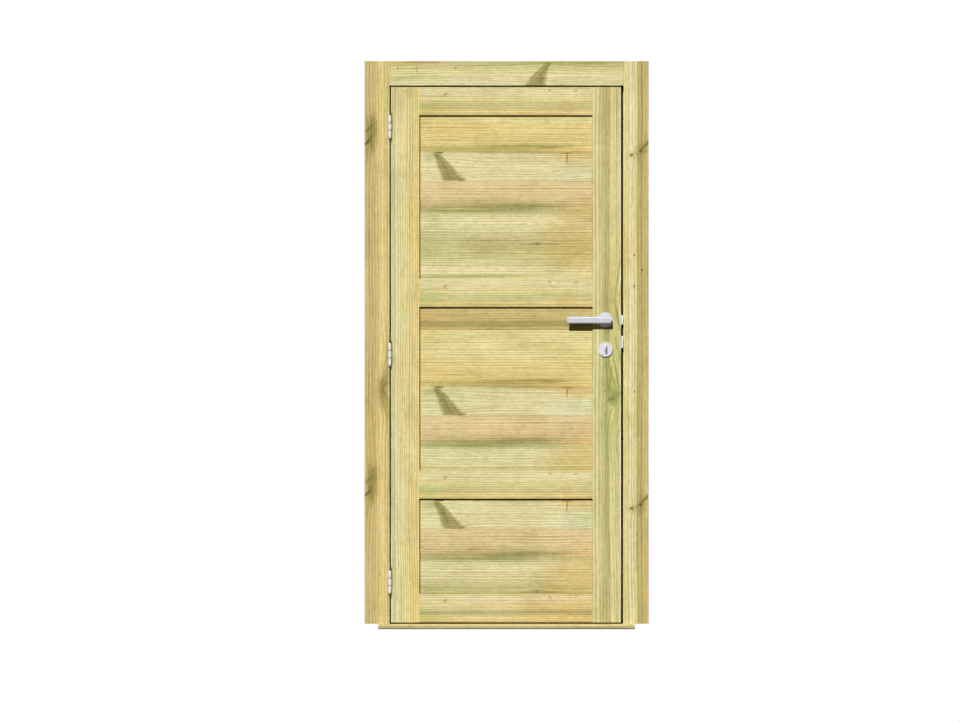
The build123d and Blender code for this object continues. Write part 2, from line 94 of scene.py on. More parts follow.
# Painted highlights: lighter lines along the edges of the rails, head, jambs and stiles
PAINTED_EDGE_HIGHLIGHT = (1.08, 1.08, 1.15, 1.0)
PAINTED_JAMB_HIGHLIGHT = (1.06, 1.07, 1.15, 1.0)
PAINTED_STILE_HIGHLIGHT = (1.06, 1.08, 1.18, 1.0)
PAINTED_LATCH_HIGHLIGHT = (1.22, 1.26, 1.55, 1.0)
PAINTED_INNER_HIGHLIGHT_LEFT = (1.03, 1.05, 1.10, 1.0)
PAINTED_INNER_HIGHLIGHT_RIGHT = (1.05, 1.06, 1.14, 1.0)
PALE_LINE = (1.5, 1.42, 1.3, 1.0)
ORANGE_PATCH = (1.00, 0.85, 0.68, 1.0)
GREEN_PATCH = (0.86, 0.95, 0.80, 1.0)
PALE_PATCH = (1.08, 1.08, 1.12, 1.0)
COOL_PATCH = (0.99, 1.03, 1.16, 1.0)
PINK_PATCH = (1.05, 0.96, 1.0, 1.0)
SHADY_PATCH = (0.84, 0.89, 0.72, 1.0)
CRACK = (0.22, 0.15, 0.06, 1.0)
GLINT = (1.20, 1.22, 1.26, 1.0)
END_GRAIN = (0.80, 0.74, 0.62, 1.0)
# A dark line in each hinge knuckle joint, with painted shade fading up the knuckle above it
JOINT_LINE_AND_PAINTED_SHADE = (0.42, 0.39, 0.42, 1.0)

WHITE = (1.0, 1.0, 1.0, 1.0)


# Node building


class Field:
    """A number that varies over a surface. Arithmetic on it adds Math nodes."""

    def __init__(self, graph, socket):
        self.graph = graph
        self.socket = socket

    def __add__(self, other):
        return self.graph.math("ADD", self, other)

    def __sub__(self, other):
        return self.graph.math("SUBTRACT", self, other)

    def __rsub__(self, other):
        return self.graph.math("SUBTRACT", other, self)

    def __mul__(self, other):
        return self.graph.math("MULTIPLY", self, other)

    def __truediv__(self, other):
        return self.graph.math("DIVIDE", self, other)

    def __abs__(self):
        return self.graph.math("ABSOLUTE", self)

    __radd__ = __add__


class Graph:
    """One material's nodes, built by plain calls that take numbers, colours and Fields."""

    def __init__(self, name):
        self.material = bpy.data.materials.new(name)
        self.material.use_nodes = True
        self.tree = self.material.node_tree
        self.tree.nodes.clear()
        self.coordinates = self.add("ShaderNodeTexCoord")
        split = self.add("ShaderNodeSeparateXYZ")
        self.tree.links.new(self.coordinates.outputs["Object"], split.inputs[0])
        self.x, self.y, self.z = (Field(self, socket) for socket in split.outputs)

    def add(self, kind, **settings):
        """A new node with the given settings."""
        made = self.tree.nodes.new(kind)
        for name, value in settings.items():
            setattr(made, name, value)
        return made

    def feed(self, socket, value):
        """Gives a socket a constant or links a Field or a socket to it."""
        if isinstance(value, Field):
            value = value.socket
        if isinstance(value, bpy.types.NodeSocket):
            self.tree.links.new(value, socket)
        else:
            socket.default_value = value

    def math(self, operation, *values):
        """One Math node."""
        made = self.add("ShaderNodeMath", operation=operation)
        for socket, value in zip(made.inputs, values):
            self.feed(socket, value)
        return Field(self, made.outputs[0])

    def vector(self, x, y, z):
        """Three numbers as one vector."""
        made = self.add("ShaderNodeCombineXYZ")
        for socket, value in zip(made.inputs, (x, y, z)):
            self.feed(socket, value)
        return made.outputs[0]

    def noise(self, x, y, z, detail=1.0, roughness=0.5):
        """Smooth noise from 0 to 1, one feature to each unit of the coordinates."""
        made = self.add("ShaderNodeTexNoise", noise_dimensions="3D")
        self.feed(made.inputs["Vector"], self.vector(x, y, z))
        self.feed(made.inputs["Scale"], 1.0)
        self.feed(made.inputs["Detail"], detail)
        self.feed(made.inputs["Roughness"], roughness)
        return Field(self, made.outputs["Fac"])

    def rise(self, value, low, high):
        """0 below low and 1 above high, smooth between. With low above high it falls instead."""
        made = self.add("ShaderNodeMapRange", interpolation_type="SMOOTHSTEP")
        for socket, given in zip(made.inputs, (value, low, high, 0.0, 1.0)):
            self.feed(socket, given)
        return Field(self, made.outputs[0])

    def mix(self, factor, first, second, blend="MIX"):
        """Blends two colours."""
        made = self.add("ShaderNodeMix", data_type="RGBA", blend_type=blend)
        self.feed(made.inputs["Factor"], factor)
        self.feed(made.inputs["A"], first)
        self.feed(made.inputs["B"], second)
        return made.outputs["Result"]

    def ramp(self, value, stops, stepped=False):
        """A colour looked up along (place in mm, colour) stops."""
        low, high = stops[0][0] * MM, stops[-1][0] * MM
        made = self.add("ShaderNodeValToRGB")
        made.color_ramp.interpolation = "CONSTANT" if stepped else "EASE"
        self.feed(made.inputs[0], (value - low) / (high - low))
        elements = made.color_ramp.elements
        while len(elements) < len(stops):
            elements.new(0.5)
        for element, (place, colour) in zip(elements, stops):
            element.position = (place * MM - low) / (high - low)
            element.color = colour
        return made.outputs["Color"]

    def ellipse(self, x, z, half_x, half_z, turn=0.0, soft=0.6, wobble=None):
        """1 inside an ellipse on the door's face and 0 outside. Millimetres and degrees.

        A positive turn is anti-clockwise, seen from outside.
        """
        made = self.add("ShaderNodeMapping", vector_type="TEXTURE")
        self.feed(made.inputs["Vector"], self.coordinates.outputs["Object"])
        made.inputs["Location"].default_value = (x * MM, 0, z * MM)
        made.inputs["Rotation"].default_value = (0, -math.radians(turn), 0)
        made.inputs["Scale"].default_value = (half_x * MM, 1.0, half_z * MM)
        length = self.add("ShaderNodeVectorMath", operation="LENGTH")
        self.feed(length.inputs[0], made.outputs[0])
        distance = Field(self, length.outputs["Value"])
        if wobble is not None:
            distance = distance + wobble
        return self.rise(distance, 1 + soft / 2, 1 - soft / 2)

    def finish(self, **sockets):
        """Ends the material in one Principled shader."""
        shader = self.add("ShaderNodeBsdfPrincipled")
        for name, value in sockets.items():
            self.feed(shader.inputs[name.replace("_", " ")], value)
        output = self.add("ShaderNodeOutputMaterial")
        self.tree.links.new(shader.outputs[0], output.inputs[0])
        return self.material

    def bump(self, height, distance, strength=1.0):
        """A surface normal from a height from 0 to 1, distance deep."""
        made = self.add("ShaderNodeBump")
        self.feed(made.inputs["Strength"], strength)
        self.feed(made.inputs["Distance"], distance)
        self.feed(made.inputs["Height"], height)
        return made.outputs["Normal"]


# Marks in the wood, some of them painted shade or highlights. Each is a function from (graph,
# wobble) to (mask, colour, strength).


def spot(x, z, half_x, half_z, colour, turn=0.0, soft=0.6, strength=1.0):
    """A knot, stain or patch with an oval outline, or a painted shadow or glint."""

    def make(graph, wobble):
        return graph.ellipse(x, z, half_x, half_z, turn, soft, wobble), colour, strength

    return make


def spike(narrow, wide, strength, bow, dark_side):
    """A knot cut lengthwise, with streaks along it. Each end is (x, z, half width).

    The wide end stops dead. Bow bends the knot sideways, and dark_side moves its darkest part.
    """

    def make(graph, wobble):
        share = (narrow[1] * MM - graph.z) / ((narrow[1] - wide[1]) * MM)
        middle = narrow[0] * MM + share * ((wide[0] - narrow[0]) * MM)
        middle = middle + share * (1 - share) * (bow * MM)
        half = narrow[2] * MM + share * ((wide[2] - narrow[2]) * MM)
        place = (graph.x - middle) / half
        mask = graph.rise(abs(place) + wobble, 1.2, 0.75)
        mask = mask * graph.rise(share, -0.12, 0.12) * graph.rise(share, 1.01, 0.99)
        streak = graph.noise(place * 2.6, share * 1.7, 4.4, detail=2, roughness=0.6)
        core = graph.rise(abs(place - dark_side), 0.7, 0.0)
        return mask * (0.74 + streak * 0.3 + core * 0.3), KNOT, strength

    return make


def nearness(graph, x, z, long, wide):
    """Steps along and across the grain from a place, and a mask that falls off with them.

    Long is the length in mm of a step along the grain, and wide of one across it.
    """
    along, across = (x, z) if graph.along == "x" else (z, x)
    far = (graph.v - along * MM) / (long * MM)
    side = (graph.u - across * MM) / (wide * MM)
    return far, side, graph.math("EXPONENT", (far * far + side * side) * -1.0)


def eddy(x, z, long, wide, push):
    """Grain that parts round a knot, pushed aside by up to about push mm."""

    def bend(graph):
        _, side, fall = nearness(graph, x, z, long, wide)
        return side * fall * (-push * MM)

    return bend


def lean(x, z, long, wide, slope):
    """Grain that slants. Slope is how far it goes across for each step along."""

    def bend(graph):
        far, _, fall = nearness(graph, x, z, long, wide)
        return far * fall * (-slope * long * MM)

    return bend


def band(u, half, colour, strength=1.0, wander=0.0, soft=1.0):
    """A streak along the whole grain at one place across it, wandering a little."""

    def make(graph, wobble):
        slow = graph.noise(graph.v * 2.3, u * 0.01, 3.1, detail=1) - 0.5
        distance = abs(graph.u - u * MM + slow * (wander * MM)) / (half * MM)
        return graph.rise(distance + wobble * 0.6, 1 + soft / 2, 1 - soft / 2), colour, strength

    return make


def rim(axis, at, half, colour, strength=1.0):
    """A straight line where a piece ends or meets its neighbour: a dark joint, or painted shade or
    a painted highlight along an edge.
    """

    def make(graph, wobble):
        place = {"x": graph.x, "z": graph.z}[axis]
        distance = abs(place - at * MM) / (half * MM)
        return graph.rise(distance, 1.3, 0.7), colour, strength

    return make


def pine(name, along, tints, marks=(), bends=(), pith=(300, 40), pitch=8.2, seed=0.0, boards=None):
    """Planed pine. Tints are (place across the grain in mm, colour), marks and bends as above.

    The growth rings are cylinders round a pith that runs along the grain, off the piece's face:
    pith is (place across the grain, depth) and pitch the width of a ring, all in mm. Boards is
    (a seam's height, board width) where a piece is glued up from boards.
    """
    graph = Graph(name)
    x, y, z = graph.x, graph.y, graph.z
    graph.along = along
    graph.v, graph.u = (x, z) if along == "x" else (z, x)
    v, u = graph.v, graph.u

    wander = graph.noise(v * 1.5, u * 6 + seed, y * 6, detail=2) - 0.5
    ripple = graph.noise(v * 15, u * 44 + seed, y * 44, detail=2) - 0.5
    across = u + wander * 0.016 + ripple * 0.0026
    for bend in bends:
        across = across + bend(graph)
    if boards:
        seam, width = boards[0] * MM, boards[1] * MM
        index = graph.math("FLOOR", (u - seam) / width)
        chance = graph.noise(index * 7.31, 0.5, seed)
        ring_x = across - (seam + (index + 0.5) * width) + chance * 0.5 + 0.05
        ring_y = y + chance * 0.2 - 0.06
    else:
        chance = 0.0
        ring_x = across - pith[0] * MM
        ring_y = y - pith[1] * MM
    radius = graph.math("SQRT", ring_x * ring_x + ring_y * ring_y) / (pitch * MM)
    uneven = graph.noise(radius * 0.6, chance, seed, detail=1) * 1.5
    phase = graph.math("FRACT", radius + uneven)
    latewood = graph.rise(phase, 0.25, 0.85) * graph.rise(phase, 1.0, 0.86)

    fade = graph.noise(v * 5, u * 34 + seed, y * 34, detail=2)
    streaks = graph.noise(v * 4.5, across * 200 + seed, y * 200, detail=2, roughness=0.6)
    fibres = graph.noise(v * 22, u * 800, y * 800 + seed, detail=2, roughness=0.7)
    flecks = graph.noise(v * 34, across * 90 + seed, y * 90, detail=3, roughness=0.8)
    cloud = graph.noise(v * 9, u * 15 + seed, y * 15, detail=3, roughness=0.6)
    blotch = graph.noise(v * 2.1, u * 11, y * 3 + seed * 1.7, detail=2)
    wobble = (graph.noise(x * 90, y * 30, z * 90 + seed, detail=2) - 0.5) * 0.5

    colour = graph.ramp(u + wander * 0.012 if not boards else u, tints, stepped=bool(boards))
    layers = (
        # warm and green areas a few hands wide
        (graph.rise(blotch, 0.50, 0.72) * 0.70, (1.00, 0.94, 0.84, 1.0)),
        (graph.rise(blotch, 0.46, 0.26) * 0.70, (0.90, 0.96, 0.86, 1.0)),
        # the dark half of each growth ring, fainter in places
        (latewood * (graph.rise(fade, 0.22, 0.70) * 0.48 + 0.3), LATEWOOD),
        # fine lines along the grain
        (graph.rise(streaks, 0.50, 0.75) * 0.42, LATEWOOD),
        (graph.rise(streaks, 0.48, 0.28) * 0.60, (1.10, 1.10, 1.16, 1.0)),
        # short flecks
        (graph.rise(flecks, 0.42, 0.80) * 0.75, (0.74, 0.70, 0.58, 1.0)),
        (graph.rise(flecks, 0.50, 0.20) * 0.90, (1.14, 1.13, 1.16, 1.0)),
        # soft clouds
        (graph.rise(cloud, 0.48, 0.75) * 0.90, (0.88, 0.87, 0.80, 1.0)),
        (graph.rise(cloud, 0.50, 0.25) * 0.90, (1.08, 1.08, 1.10, 1.0)),
        # fibres
        (graph.rise(fibres, 0.50, 0.80) * 0.35, (0.80, 0.77, 0.66, 1.0)),
    )
    for share, tint in layers:
        colour = graph.mix(share, colour, tint, "MULTIPLY")

    for make in marks:
        mask, tint, strength = make(graph, wobble)
        colour = graph.mix(mask * strength, colour, tint, "MULTIPLY")

    facing = graph.add("ShaderNodeSeparateXYZ")
    graph.tree.links.new(graph.coordinates.outputs["Normal"], facing.inputs[0])
    end_on = abs(Field(graph, facing.outputs[0 if along == "x" else 2]))
    end_grain = graph.rise(end_on, 0.7, 0.9)
    colour = graph.mix(end_grain * 0.8, colour, END_GRAIN, "MULTIPLY")

    height = latewood * 0.5 + fibres * 0.5
    return graph.finish(
        Base_Color=colour,
        Roughness=0.56 + fibres * 0.14 - latewood * 0.05,
        Specular_IOR_Level=0.2,
        Normal=graph.bump(height, 0.0004, 0.5),
    )


def metal(name, colour, roughness, scratch_axis="x", scratch=0.04, mottle=0.0, matt=0.0, seams=()):
    """A metal with fine scratches along one axis and a little cloudiness.

    Matt is the share of the light that its fine blasting or tarnish scatters. Seams are the
    heights in mm of joints, each with a dark line in it and painted shade fading up the metal
    above.
    """
    graph = Graph(name)
    stretch = {"x": (60, 2500, 2500), "z": (2500, 2500, 60)}[scratch_axis]
    scratches = graph.noise(
        graph.x * stretch[0], graph.y * stretch[1], graph.z * stretch[2], detail=2, roughness=0.7
    )
    cloud = graph.noise(graph.x * 140, graph.y * 140, graph.z * 140, detail=3)
    dull = tuple(0.86 * value for value in colour[:3]) + (1.0,)
    shade = graph.mix(cloud * mottle, colour, dull)
    for at in seams:
        above = (graph.z - at * MM) / MM
        # a dark line in the joint, and painted shade fading up the knuckle above it
        joint_line_and_shade = graph.rise(above, 11, 0.5) * graph.rise(above, -1.8, -0.6)
        shade = graph.mix(joint_line_and_shade * 0.75, shade, JOINT_LINE_AND_PAINTED_SHADE, "MULTIPLY")
    return graph.finish(
        Base_Color=shade,
        Metallic=1.0 - matt,
        Roughness=roughness + scratches * scratch + cloud * scratch * 0.5,
        Normal=graph.bump(scratches, 0.00002, 0.4),
    )


# Camera, light and stage

CAMERA_PLACE = (-0.0935, -6.0, 0.9425)
VIEW_WIDTH = 3.380
SUN_STRENGTH = 3.35
BACK_STRENGTH = 1.7
FILL = 0.018  # the world's light on the object, where the white that is seen is 1
FLOOR_REACH = 9
FLOOR_GLOW = 0.41  # what the lamps leave the floor short of white


def build_camera():
    """A level camera without perspective, square on to the door's outside."""
    data = bpy.data.cameras.new("camera")
    data.type = "ORTHO"
    data.ortho_scale = VIEW_WIDTH
    data.clip_end = 100
    camera = bpy.data.objects.new("camera", data)
    camera.location = CAMERA_PLACE
    camera.rotation_euler = (math.radians(90), 0, 0)
    bpy.context.scene.collection.objects.link(camera)
    bpy.context.scene.camera = camera


def add_sun(name, strength, location, direction, spread):
    """A sun lamp that shines along a direction. Spread is its size in degrees."""
    data = bpy.data.lights.new(name, "SUN")
    data.energy = strength
    data.angle = math.radians(spread)
    lamp = bpy.data.objects.new(name, data)
    lamp.location = location
    lamp.rotation_euler = Vector(direction).to_track_quat("-Z", "Y").to_euler()
    bpy.context.scene.collection.objects.link(lamp)


def background_rays(tree):
    """1 on the rays that show a background: seen, mirrored in metal or through glass, else 0.

    A mirrored ray that began on a matt surface is left out, so metal doesn't light the wood
    round it with the background.
    """
    path = tree.nodes.new("ShaderNodeLightPath")
    seen = path.outputs["Is Camera Ray"]
    for ray in ("Is Glossy Ray", "Is Transmission Ray"):
        either = tree.nodes.new("ShaderNodeMath")
        either.operation = "MAXIMUM"
        tree.links.new(seen, either.inputs[0])
        tree.links.new(path.outputs[ray], either.inputs[1])
        seen = either.outputs[0]
    direct = tree.nodes.new("ShaderNodeMath")
    direct.operation = "LESS_THAN"
    tree.links.new(path.outputs["Diffuse Depth"], direct.inputs[0])
    direct.inputs[1].default_value = 0.5
    both = tree.nodes.new("ShaderNodeMath")
    both.operation = "MULTIPLY"
    tree.links.new(seen, both.inputs[0])
    tree.links.new(direct.outputs[0], both.inputs[1])
    return both.outputs[0]


def build_light():
    """A sun from the front, high and a little left, two softer ones behind, and a weak fill."""
    add_sun("sun", SUN_STRENGTH, (-1, -5, 4), (0.14, 1.0, -0.46), 0.6)
    for name, x in (("back_left", -3.0), ("back_right", 3.0)):
        add_sun(name, BACK_STRENGTH, (x, 5, 3), (-x, -5, -1.75), 25)
    world = bpy.data.worlds.new("world")
    world.use_nodes = True
    bpy.context.scene.world = world
    tree = world.node_tree
    tree.nodes.clear()
    strength = tree.nodes.new("ShaderNodeMapRange")
    strength.inputs["To Min"].default_value = FILL
    strength.inputs["To Max"].default_value = 1.0
    tree.links.new(background_rays(tree), strength.inputs["Value"])
    background = tree.nodes.new("ShaderNodeBackground")
    background.inputs["Color"].default_value = WHITE
    tree.links.new(strength.outputs[0], background.inputs["Strength"])
    output = tree.nodes.new("ShaderNodeOutputWorld")
    tree.links.new(background.outputs[0], output.inputs[0])


def build_floor():
    """A plain pale floor that keeps the door's shadow."""
    mesh = bpy.data.meshes.new("floor")
    far = FLOOR_REACH
    corners = [(-far, -far, 0), (far, -far, 0), (far, far, 0), (-far, far, 0)]
    mesh.from_pydata(corners, [], [(0, 1, 2, 3)])
    floor = bpy.data.objects.new("floor", mesh)
    bpy.context.scene.collection.objects.link(floor)
    floor.visible_diffuse = False
    graph = Graph("floor")
    mesh.materials.append(
        graph.finish(
            Base_Color=(0.8, 0.8, 0.8, 1.0),
            Roughness=0.9,
            Specular_IOR_Level=0.0,
            Emission_Color=WHITE,
            Emission_Strength=Field(graph, background_rays(graph.tree)) * FLOOR_GLOW,
        )
    )


# Pieces


def dress(material, *names):
    """Gives CAD nodes a material."""
    for name in names:
        slots = nodes[name].data.materials
        slots.clear()
        slots.append(material)


def add_piece(name, bm, material, body):
    """Turns mesh code into a named piece of the part that rides on a body."""
    bmesh.ops.recalc_face_normals(bm, faces=bm.faces)
    mesh = bpy.data.meshes.new(name)
    bm.to_mesh(mesh)
    bm.free()
    mesh.materials.append(material)
    piece = bpy.data.objects.new(name, mesh)
    bpy.context.scene.collection.objects.link(piece)
    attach(piece, body)
    return piece


SEAM_WIDTH = 100.2  # from one seam of a panel to the next, in mm
SEAM_ARRIS = 0.5 * MM
SEAM_MARGIN = 0.004  # no seam closer than this to a panel's edge


def add_boards(name, node, seam, material):
    """The glued boards of one panel, in the place of its CAD solid."""
    low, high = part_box(node)
    seams = [(seam + step * SEAM_WIDTH) * MM for step in range(-20, 21)]
    cuts = [z for z in seams if low.z + SEAM_MARGIN < z < high.z - SEAM_MARGIN]
    cuts = [low.z, *cuts, high.z]
    bm = bmesh.new()
    a = SEAM_ARRIS
    for bottom, top in zip(cuts, cuts[1:]):
        section = [
            (low.y + a, bottom), (high.y - a, bottom), (high.y, bottom + a), (high.y, top - a),
            (high.y - a, top), (low.y + a, top), (low.y, top - a), (low.y, bottom + a),
        ]
        left = [bm.verts.new((low.x, y, z)) for y, z in section]
        right = [bm.verts.new((high.x, y, z)) for y, z in section]
        bm.faces.new(left)
        bm.faces.new(right)
        for i in range(len(section)):
            j = (i + 1) % len(section)
            bm.faces.new((left[i], left[j], right[j], right[i]))
    piece = add_piece(name, bm, material, "leaf")
    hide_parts(node)


build_camera()
build_light()
build_floor()


# The door's wood. Places in mm.

HINGE_MIDDLES = (1768, 966.5, 165)


def rail_tints(top):
    """The tints down a rail, from its top edge in mm."""
    return [
        (top - 102, TAN),
        (top - 88, YELLOW),
        (top - 74, KHAKI),
        (top - 60, SAGE),
        (top - 42, STRAW),
        (top - 20, CREAM),
        (top - 6, CREAM),
        (top, SAGE),
    ]


def rail_marks(top):
    """Pin knots, faint lines, patches and a painted highlight along the lower edge, the same
    distance below each rail's top.
    """
    return [
        spot(-216, top - 26, 9, 5, BROWN_STREAK, turn=35, strength=0.8),
        spot(-250, top - 34, 60, 1.6, BROWN_STREAK, strength=0.7),
        spot(152, top - 12, 7, 2.5, BROWN_STREAK, turn=-30),
        spot(244, top - 12, 6, 2.5, BROWN_STREAK, turn=25),
        spot(-290, top - 80, 60, 22, GREEN_PATCH),
        spot(205, top - 68, 26, 20, ORANGE_PATCH, strength=0.6),
        spot(200, top - 16, 90, 6, PALE_PATCH),
        # painted highlight along the rail's lower edge
        rim("z", top - 100, 2.5, PAINTED_EDGE_HIGHLIGHT),
        rim("x", -307, 1.0, BROWN_STREAK, 0.6),
        rim("x", 303, 1.0, BROWN_STREAK, 0.6),
    ]


def panel_tints(seam):
    """One tint to each glued board of the panels, counted from the seam above the spike knot."""
    upwards = [CREAM, SAGE, MOSSY, ROSY, CREAM, YELLOW, STRAW, TAN, TAN]
    lowest = seam - 5 * SEAM_WIDTH
    return [(lowest + step * SEAM_WIDTH, tint) for step, tint in enumerate(upwards)]


def panel_bends(seam):
    """How the panels' grain runs round the spike knot and the small one."""
    return [
        eddy(-225, seam - 50, 110, 40, 20),
        eddy(-60, seam - 62, 90, 22, -7),
        eddy(108, seam - 322, 40, 12, 12),
        eddy(230, seam - 75, 60, 20, -6),
        lean(268, seam - 84, 50, 18, 0.14),
        eddy(-200, seam + 40, 70, 22, 9),
    ]


def panel_marks(seam, top, foot):
    """Streaks, the spike knot, checks, patches and painted shadows along the top and left edges,
    placed from the same seam in each panel.

    Top is the height of the panel's top edge, and foot a mark along its lower edge.
    """
    return [
        band(seam + 223, 12, GREEN_STREAK, 0.8, wander=16),
        spot(-70, seam + 8, 270, 11, DARK_STREAK, turn=-1.2, soft=1.4, strength=0.55),
        spot(90, seam + 22, 150, 6, DARK_STREAK, turn=0.5, soft=1.4, strength=0.75),
        spot(0, seam + 30, 330, 34, BROWN_STREAK, soft=1.6, strength=0.12),
        spot(-160, seam - 193.5, 210, 4, DARK_STREAK, turn=-0.6, soft=1.4, strength=0.5),
        spot(-150, seam - 205, 200, 5, DARK_STREAK, turn=-0.4, soft=1.4, strength=0.5),
        spot(70, seam - 188, 120, 9, DARK_STREAK, soft=1.4, strength=0.65),
        spot(-60, seam - 188, 300, 20, GREEN_STREAK, soft=1.6, strength=0.7),
        spot(-60, seam - 208, 300, 12, GREEN_STREAK, soft=1.6, strength=0.5),
        spot(-156, seam - 199, 92, 2.2, PALE_LINE, soft=1.2),
        spot(-80, seam - 246, 300, 26, PALE_PATCH, soft=1.4),
        spot(-70, seam - 322, 320, 34, BROWN_STREAK, soft=1.2, strength=0.34),
        spot(-80, seam - 394, 300, 18, PALE_PATCH, soft=1.4),
        spot(-150, seam - 436, 230, 7, GREEN_STREAK, turn=0.6, soft=1.5, strength=0.8),
        spot(280, seam - 62, 70, 34, GREEN_PATCH, soft=1.4, strength=0.5),
        spot(250, seam - 80, 90, 26, COOL_PATCH, soft=1.4),
        spot(250, seam - 16, 75, 15, ORANGE_PATCH, soft=1.4, strength=0.8),
        spot(200, seam + 3, 110, 13, ORANGE_PATCH, soft=1.2, strength=0.6),
        spot(-231, seam + 19, 2.0, 24, KNOT_EDGE, turn=-37, soft=1.5, strength=0.3),
        spot(-214, seam + 30, 1.8, 16, KNOT_EDGE, turn=-55, soft=1.5, strength=0.2),
        spot(300, seam - 300, 170, 130, ORANGE_PATCH, strength=0.9),
        spot(-40, seam - 145, 330, 34, ORANGE_PATCH, strength=0.15),
        spike((-247, seam - 4, 12), (-185, seam - 100, 40), strength=0.95, bow=4, dark_side=-0.2),
        spot(-236, seam - 1, 14, 2.4, KNOT_CORE, soft=0.9, strength=0.85),
        spot(-216, seam - 56, 2.2, 34, KNOT_EDGE, turn=26, soft=1.3, strength=0.45),
        spot(-180, seam - 78, 2.2, 30, KNOT_EDGE, turn=40, soft=1.3, strength=0.4),
        spot(-156, seam - 96, 14, 4, KNOT_EDGE, turn=16, soft=1.3, strength=0.5),
        spot(-262, seam - 14, 34, 14, GREEN_STREAK, turn=20, soft=1.3, strength=0.6),
        # painted shadow of the rail above along the panel's top edge
        rim("z", top - 2.6, 3.4, PAINTED_RAIL_SHADOW),
        spot(160, seam + 17, 42, 1.8, CRACK, turn=1, strength=0.6),
        spot(213, seam - 3, 22, 1.8, CRACK, strength=0.7),
        spot(213, seam - 20, 2.6, 18, CRACK, turn=-5, strength=0.65),
        spot(108, seam - 322, 9, 5, GREEN_STREAK),
        spot(80, seam - 323, 34, 1.6, CRACK, strength=0.45),
        spot(160, seam - 323, 28, 1.6, CRACK, strength=0.45),
        # painted shadow of the stile along the panel's left edge
        rim("x", -305.6, 3.0, PAINTED_EDGE_SHADE),
        rim("x", 301.5, 1.8, BROWN_STREAK, 0.7),
        foot,
    ]


bottom_rail_marks = [
    spot(230, 74, 190, 66, ORANGE_PATCH, soft=1.4, strength=0.6),
    spot(-20, 60, 340, 6, BROWN_STREAK, turn=0.3, soft=1.4, strength=0.6),
    spot(60, 88, 300, 20, PINK_PATCH, soft=1.4),
    rim("z", 125.4, 1.4, BROWN_STREAK),
]
for name, top, more_marks in (
    ("rail_top", 1909, []),
    ("rail_upper", 1234, []),
    ("rail_lower", 559, []),
    ("rail_bottom", 126, bottom_rail_marks),
):
    marks = rail_marks(top) + more_marks
    dress(
        pine(name, "x", rail_tints(top), marks, pith=(top + 260, 60), seed=4.0 + top / 999),
        name,
    )

for name, node, seam, top, foot in (
    ("panel_top_boards", "panel_top", 1679, 1809, rim("z", 1241, 7, FOOT_SHADE)),
    ("panel_middle_boards", "panel_middle", 853, 1134, rim("z", 565, 6, FOOT_SHADE)),
    ("panel_bottom_boards", "panel_bottom", 454, 459, rim("z", 127, 2.2, BROWN_STREAK)),
):
    add_boards(
        name,
        node,
        seam,
        pine(
            name, "x", panel_tints(seam), panel_marks(seam, top, foot), panel_bends(seam),
            boards=(seam, SEAM_WIDTH), pitch=9.0, seed=9.0,
        ),
    )

dress(
    pine(
        "head", "x",
        [(1914, CREAM), (1945, CREAM), (1965, STRAW), (1980, SAGE), (1992, KHAKI), (2000, KHAKI)],
        [
            spike((145, 1990, 11), (101, 1913, 37), strength=0.95, bow=-26, dark_side=0.3),
            spot(119, 1950, 4, 2, CRACK, turn=-30, soft=1.2, strength=0.6),
            spot(124, 1934, 1.8, 14, KNOT_EDGE, turn=-30, soft=1.3, strength=0.6),
            spot(139, 1942, 2.0, 16, KNOT_EDGE, turn=-14, soft=1.3, strength=0.5),
            spot(146, 1992, 26, 4, OLIVE, soft=1.3),
            spot(-360, 1992, 60, 8, ORANGE_PATCH),
            spot(-300, 1996, 70, 4, BROWN_STREAK, strength=0.8),
            spot(-315, 1972, 1.8, 16, CRACK, strength=0.6),
            spot(-382, 1976, 3, 6, BROWN_STREAK, turn=-20, soft=1.2),
            spot(-180, 1976, 5, 4, BROWN_STREAK, turn=-40, soft=1.2),
            spot(-330, 1945, 90, 14, GREEN_PATCH, soft=1.4),
            spot(240, 1996, 190, 6, OLIVE, soft=1.2, strength=0.9),
            spot(300, 1986, 150, 6, OLIVE, soft=1.4, strength=0.5),
            rim("x", -412, 1.2, BROWN_STREAK),
            rim("x", 412, 1.2, BROWN_STREAK),
            # painted highlight along the head's lower edge
            rim("z", 1915, 3, PAINTED_EDGE_HIGHLIGHT),
        ],
        [eddy(120, 1955, 110, 40, 22), eddy(-330, 1975, 80, 16, 5)],
        pith=(2300, 60), seed=2.0,
    ),
    "head",
)


def branch_marks(z):
    """A branch that leaves the left jamb at its edge, with curved strokes under it."""
    return [
        spot(-482, z - 20, 22, 66, GREEN_STREAK, turn=-12, soft=1.6, strength=0.8),
        spot(-474, z + 6, 18, 46, OLIVE, turn=8, soft=1.6, strength=0.9),
        spot(-470, z + 38, 10, 30, GREEN_STREAK, turn=12, soft=1.6, strength=0.5),
        spot(-468, z + 46, 3.5, 10, KNOT_EDGE, turn=-40, soft=1.5, strength=0.4),
        spot(-481, z + 18, 3.5, 17, KNOT_EDGE, turn=-48, soft=1.5, strength=0.45),
        spot(-492, z + 4, 3.5, 16, KNOT_EDGE, turn=-52, soft=1.5, strength=0.5),
        spot(-482, z - 22, 4.0, 20, KNOT_EDGE, turn=-34, soft=1.5, strength=0.45),
        spot(-493, z - 38, 5, 15, KNOT_CORE, turn=-52, soft=1.2, strength=0.7),
        spot(-474, z - 46, 8, 28, OLIVE, turn=10, soft=1.6),
    ]


